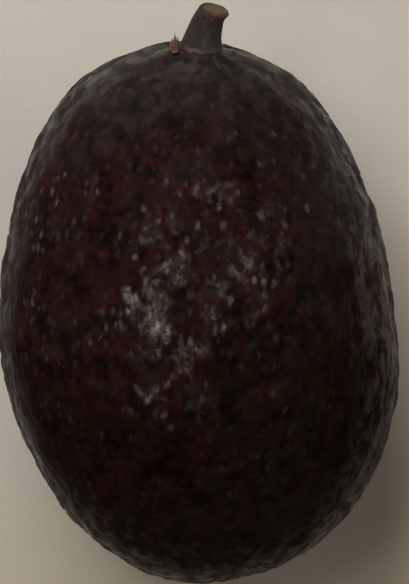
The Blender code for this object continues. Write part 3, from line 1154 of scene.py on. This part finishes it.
@dataclass
class DryScale:
    """The dry scale: a thin curled blade like a flame of three teeth, and a small bud at its foot.

    A tooth is (place across, reach, height), all as shares of the blade's.
    """

    side: float = -0.0009
    up: float = 0.0093
    gap: float = 0.00030
    height: float = 0.0036
    half_width: float = 0.00082
    foot_half: float = 0.00026
    tip_half: float = 0.00005
    teeth: tuple[Triple, ...] = ((-0.62, 0.42, 0.66), (0.02, 0.46, 1.0), (0.60, 0.40, 0.78))
    notch: float = 0.40
    curl: float = 0.45
    edge_loss: float = 0.30
    ruffle: float = 0.00008
    aim: Pair = (0, 20)
    columns: int = 56
    rows: int = 34
    bud_half: Triple = (0.00054, 0.00046, 0.00036)
    bud_drop: float = 0.00060
    bud_lift: float = 0.0001
    bud_uneven: float = 0.10
    bud_steps: int = 12

    def build(self, fruit: Fruit, finish: Material) -> Object:
        """Makes the blade and its bud as one mesh.

        A place on the blade is (u, h): u runs across from -1 to 1, and h from the foot to the
        ragged edge, whose height over u is the tallest of three pointed teeth. The blade is
        widest a third of the way up, its edges curl towards the stub with the square of u, and
        it thins from its foot to its tips. The bud is a ball with its three half sizes, set at
        the blade's foot on the side away from the stub and made uneven by waves.

        Args:
            fruit: the fruit that the scale stands on.
            finish: the scale's material.

        Returns:
            The scale.
        """
        h, u = grid_of(np.linspace(0, 1, self.rows), np.linspace(-1, 1, self.columns))
        edge = np.full(len(u), self.notch)
        for centre, reach, tall in self.teeth:
            tooth = np.clip(1 - np.abs(u - centre) / reach, 0, 1)
            edge = np.maximum(edge, self.notch + (tall - self.notch) * tooth**1.15)
        edge *= 1 - self.edge_loss * u**4
        foot, outward = fruit.frame_at(self.side, self.up)
        foot = foot + outward * self.gap
        facing = unit(outward + np.outer(h, aimed(*self.aim) - outward))
        right, down = beside(facing)
        ruffle = waves(np.stack([2.4 * u, 2.4 * h, 0 * u], axis=1), 1.2, 71) * self.ruffle * h
        belly = 0.66 + 0.34 * np.sin(math.pi * np.clip(0.12 + 1.15 * h * edge, 0, 1))
        wide = self.half_width * belly * u
        curled = self.curl * self.half_width * u**2 * h + ruffle
        middle = foot + (self.height * h * edge)[:, None] * facing
        middle = middle + wide[:, None] * right + curled[:, None] * down
        half = (self.foot_half + (self.tip_half - self.foot_half) * h) * (1 - self.edge_loss * u**2)
        front, back = middle - half[:, None] * down, middle + half[:, None] * down

        ways, bud_faces = ball(self.bud_steps)
        uneven = 1 + self.bud_uneven * waves(ways, 1.6, 72)
        along, across, out = (ways * uneven[:, None] * self.bud_half).T
        seat = foot - self.bud_drop * down[0] + self.bud_lift * outward
        bud = seat + np.outer(along, right[0]) + np.outer(across, -down[0]) + np.outer(out, outward)

        places = np.concatenate([front, back, bud])
        blade = len(front) + len(back)
        values = {
            "tip": np.concatenate([np.tile(h * edge, 2), 0.5 + 0 * out]),
            "bud": np.concatenate([np.zeros(blade), np.ones(len(bud))]),
        }
        faces = [sheet_faces(self.rows, self.columns), bud_faces + blade]
        return piece("dry_scale_blade", places, faces, finish, values)


# -- Stage ---------------------------------------------------


class Use(Enum):
    """What a lamp does: it lights and shades things, or shows in their gloss."""

    LIGHT = "light"
    GLINT = "glint"


@dataclass(frozen=True)
class Lamp:
    """A round soft lamp that faces the fruit.

    Its place is given by degrees to the right of the stem end and degrees above the table.
    """

    name: str
    right: float
    rise: float
    size: float
    power: float
    colour: Colour
    use: Use = Use.LIGHT


@dataclass
class Stage:
    """The table, the lights and the camera."""

    table_size: float = 3.0
    table_points: int = 9
    lamps: tuple[Lamp, ...] = (
        Lamp("window", -20, 38, 0.40, 3.15, (1.0, 0.975, 0.935)),
        Lamp("side_window", -45, 66, 0.20, 0.78, (1.0, 0.975, 0.94)),
        Lamp("left_wall", -76, 13, 0.30, 0.48, (1.0, 0.97, 0.95)),
        Lamp("right_wall", 68, 34, 0.34, 0.48, (1.0, 0.93, 0.84)),
        Lamp("right_low", 90, 12, 0.30, 0.42, (1.0, 0.96, 0.92)),
        Lamp("ceiling_glow", 35, 66, 0.48, 0.98, (1.0, 0.89, 0.75), Use.GLINT),
        Lamp("blind_glow", -98, 63, 0.30, 0.76, (1.0, 0.90, 0.77), Use.GLINT),
        Lamp("upper_glow", -32, 62, 0.34, 0.34, (1.0, 0.90, 0.77), Use.GLINT),
        Lamp("left_glow", -70, 15, 0.32, 0.42, (1.0, 0.90, 0.85), Use.GLINT),
        Lamp("right_glow", 66, 38, 0.26, 0.16, (1.0, 0.93, 0.86), Use.GLINT),
        Lamp("near_glow", -165, 55, 0.26, 0.20, (1.0, 0.93, 0.86), Use.GLINT),
    )
    lamp_distance: float = 0.6
    sky: Colour = (0.015, 0.0125, 0.0095)
    looks_at: Triple = (0.0, 0.0, 0.0315)
    lean: float = math.radians(6)
    distance: float = 0.40
    lens: float = 145.2
    across: float = 0.001375
    upward: float = 0.00384

    def lay_table(self, finish: Material) -> Object:
        """Makes the table: a flat grid at height 0.

        Args:
            finish: its material.

        Returns:
            The table.
        """
        line = np.linspace(-0.5, 0.5, self.table_points) * self.table_size
        y, x = grid_of(line, line)
        faces = quads(np.arange(x.size).reshape(len(line), len(line)))
        return piece("table_top", np.stack([x, y, 0 * x], axis=1), [faces], finish)

    def hang(self, lamp: Lamp) -> None:
        """Hangs one lamp.

        Args:
            lamp: the lamp.
        """
        light = bpy.data.lights.new(lamp.name, "AREA")
        light.shape, light.size, light.energy, light.color = "DISK", lamp.size, lamp.power, lamp.colour
        hung = bpy.data.objects.new(lamp.name, light)
        outward = Vector(aimed(lamp.right, lamp.rise))
        hung.location = Vector(self.looks_at) + self.lamp_distance * outward
        hung.rotation_euler = outward.to_track_quat("Z", "Y").to_euler()
        hung.visible_glossy = lamp.use is Use.GLINT
        hung.visible_diffuse = lamp.use is Use.LIGHT
        bpy.context.scene.collection.objects.link(hung)

    def light_up(self) -> None:
        """Makes the lights and the even dim surroundings."""
        for lamp in self.lamps:
            self.hang(lamp)
        world = bpy.data.worlds.new("room")
        world.use_nodes = True
        world.node_tree.nodes["Background"].inputs["Color"].default_value = (*self.sky, 1.0)
        bpy.context.scene.world = world

    def place_camera(self) -> Object:
        """Makes the camera: almost straight above, leaning a little towards the stem end.

        Returns:
            The camera.
        """
        lens = bpy.data.cameras.new("camera")
        lens.lens = self.lens
        lens.clip_start, lens.clip_end = 0.01, 20
        camera = bpy.data.objects.new("camera", lens)
        turn = Matrix.Rotation(-self.lean, 3, "X")
        aside = Vector((self.across, self.upward, self.distance))
        camera.rotation_euler = turn.to_euler()
        camera.location = Vector(self.looks_at) + turn @ aside
        bpy.context.scene.collection.objects.link(camera)
        bpy.context.scene.camera = camera
        bpy.context.scene.view_settings.view_transform = "Standard"
        return camera


# -- Joining the frame ---------------------------------------


def main() -> None:
    """Builds the pieces in order, joins them to the frame and reports each one."""
    logging.basicConfig(level=logging.INFO, format="%(name)s: %(message)s")
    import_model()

    fruit = Fruit()
    made = (
        (fruit.build(SkinFinish().material()), "fruit", Slot.SKIN),
        (StemStub().build(fruit, BarkFinish().material()), "stem_stub", Slot.WOOD),
        (DryScale().build(fruit, DryScaleFinish().material()), "dry_scale", Slot.SCALE),
    )
    for thing, node, slot in made:
        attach(thing, "root")
        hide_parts(node)
        LOG.info("%s: %d points, stands for %s", thing.name, len(thing.data.vertices), node)

    stage = Stage()
    stage.lay_table(TableFinish().material())
    stage.light_up()
    stage.place_camera()


if __name__ == "__main__":
    main()
